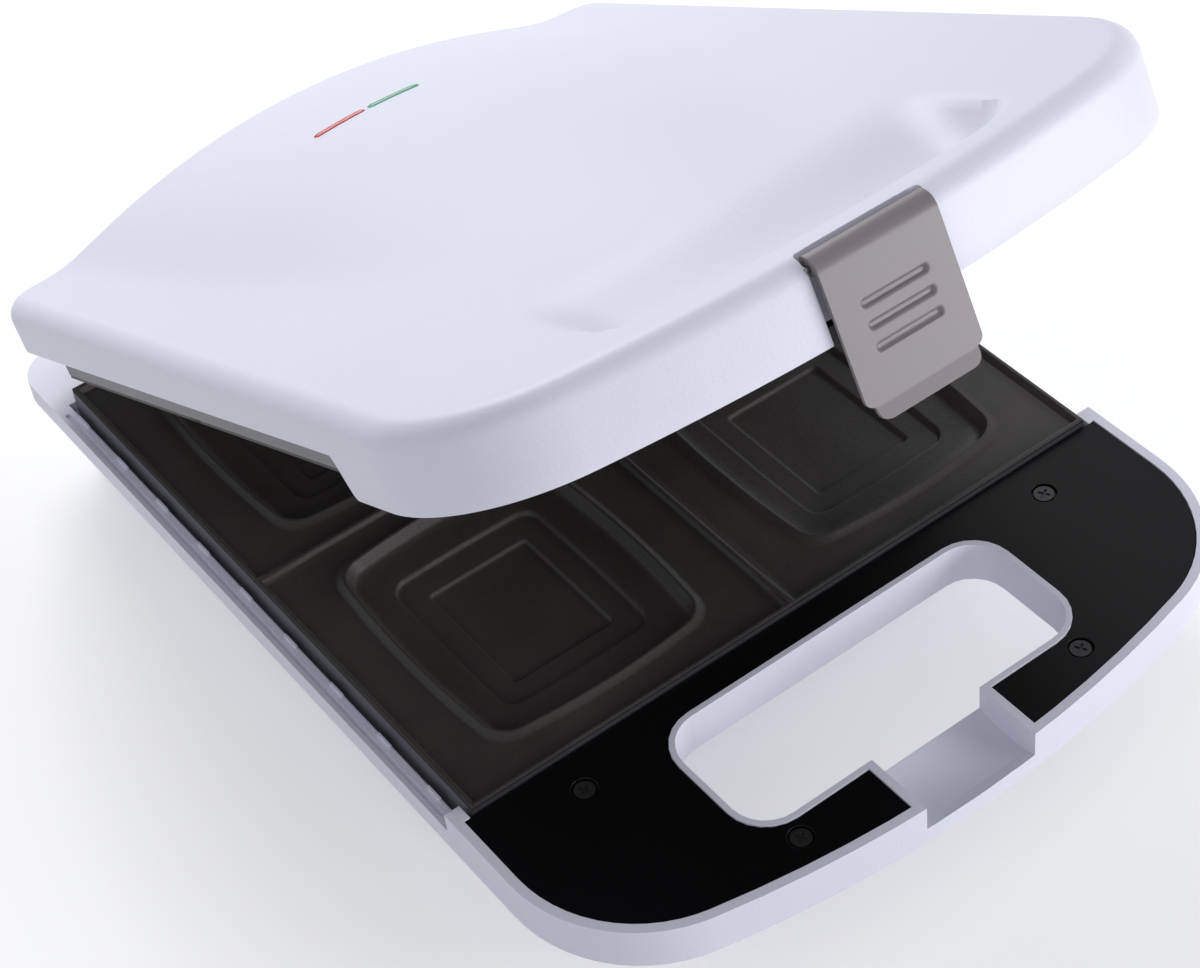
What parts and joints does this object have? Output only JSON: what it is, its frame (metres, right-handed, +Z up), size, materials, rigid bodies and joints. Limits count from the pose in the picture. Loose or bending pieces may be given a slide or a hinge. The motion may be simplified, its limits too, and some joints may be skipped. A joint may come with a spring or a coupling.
{
  "type": "sandwich toaster",
  "caption": "Countertop sandwich toaster with a hinged lid, pocketed non-stick plates, a looped front handle and a swinging latch.",
  "frame": {"origin": "on the resting surface, under the middle of the whole part's box as stored with the lid partly open", "axes": "+X to the toaster's right as seen from the handle, +Y from the handle to the hinge, +Z up"},
  "size_m": [0.264, 0.381, 0.2327],
  "materials": {
    "white_housing": "fine matte grain",
    "pale_inner": "matte",
    "black_cover": "satin",
    "nonstick": "non-stick coating with a fine speckle",
    "element_steel": "dull",
    "sheet_metal": "bright",
    "screw_steel": "plain",
    "black_screw": "black",
    "hinge_metal": "satin",
    "pin_steel": "polished",
    "ceramic": "matte",
    "fuse_metal": "plain",
    "rubber": "matte",
    "red_window": "clear red",
    "green_window": "clear green",
    "lamp_glass": "clear",
    "latch_taupe": "satin"
  },
  "bodies": {
    "base": {"base_shell": "white_housing", "bottom_cover": "white_housing", "handle_cover": "black_cover", "cover_screws": "black_screw", "lower_plate": "nonstick", "lower_element": "element_steel", "lower_reflector": "sheet_metal", "lower_plate_screws": "screw_steel", "thermostat": "ceramic", "thermal_fuse": "fuse_metal", "terminal_block": "ceramic", "cord_bush": "rubber", "rubber_feet": "rubber", "bottom_screws": "screw_steel", "hinge_brackets": "hinge_metal", "bracket_screws": "screw_steel", "hinge_pins": "pin_steel"},
    "lid": {"lid_shell": "white_housing", "lid_frame": "pale_inner", "lid_handle_cover": "black_cover", "lid_cover_screws": "black_screw", "upper_plate": "nonstick", "upper_element": "element_steel", "upper_reflector": "sheet_metal", "upper_plate_screws": "screw_steel", "lid_screws": "screw_steel", "lid_knuckles": "hinge_metal", "knuckle_screws": "screw_steel", "red_lens": "red_window", "green_lens": "green_window", "lamp_holder": "ceramic", "indicator_lamps": "lamp_glass", "latch_pin": "pin_steel"},
    "latch": {"latch": "latch_taupe"}
  },
  "joints": [
    {"name": "lid_hinge", "type": "hinge", "parent": "base", "child": "lid", "pos_m": [0, 0.16087, 0.0609], "axis": [-1, 0, 0], "range_deg": [-27, 68]},
    {"name": "latch_hinge", "type": "hinge", "parent": "lid", "child": "latch", "pos_m": [0, -0.14613, 0.22866], "axis": [-1, 0, 0], "range_deg": [0, 40]}
  ]
}
